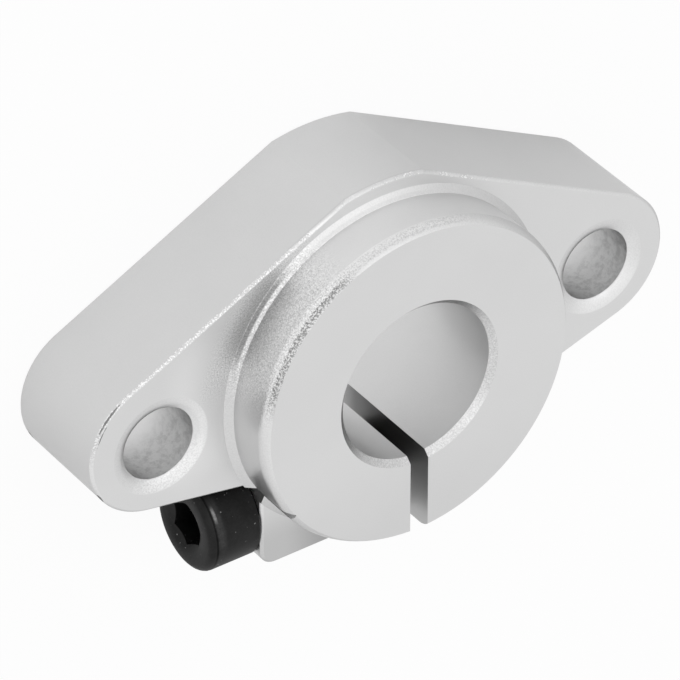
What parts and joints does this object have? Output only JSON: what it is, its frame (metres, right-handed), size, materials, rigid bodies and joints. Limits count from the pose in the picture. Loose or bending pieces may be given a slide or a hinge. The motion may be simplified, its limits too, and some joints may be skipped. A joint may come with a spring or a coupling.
{
  "type": "shaft support block",
  "caption": "Flange-mounted split block that clamps the end of a round shaft, with a round boss, two mounting ears and a cap screw across the slit.",
  "frame": {"origin": "on the bore axis, in the plane of the mounting face, midway between the two mounting holes", "axes": "+Z along the bore, from the mounting face out of the boss; +X from ear to ear, away from the screw head; +Y away from the slit"},
  "size_m": [0.047, 0.0281, 0.013],
  "materials": {
    "blasted_aluminium": "fine bead-blasted, matt silver",
    "black_steel": "black oxide, satin"
  },
  "bodies": {
    "block": {"flange_block": "blasted_aluminium"},
    "screw": {"clamp_screw": "black_steel"}
  },
  "joints": [
    {"name": "clamp_screw_turn", "type": "hinge", "parent": "block", "child": "screw", "pos_m": [-0.0101, -0.0105, 0.0054], "axis": [1, 0, 0], "range_deg": [-360, 0]}
  ]
}
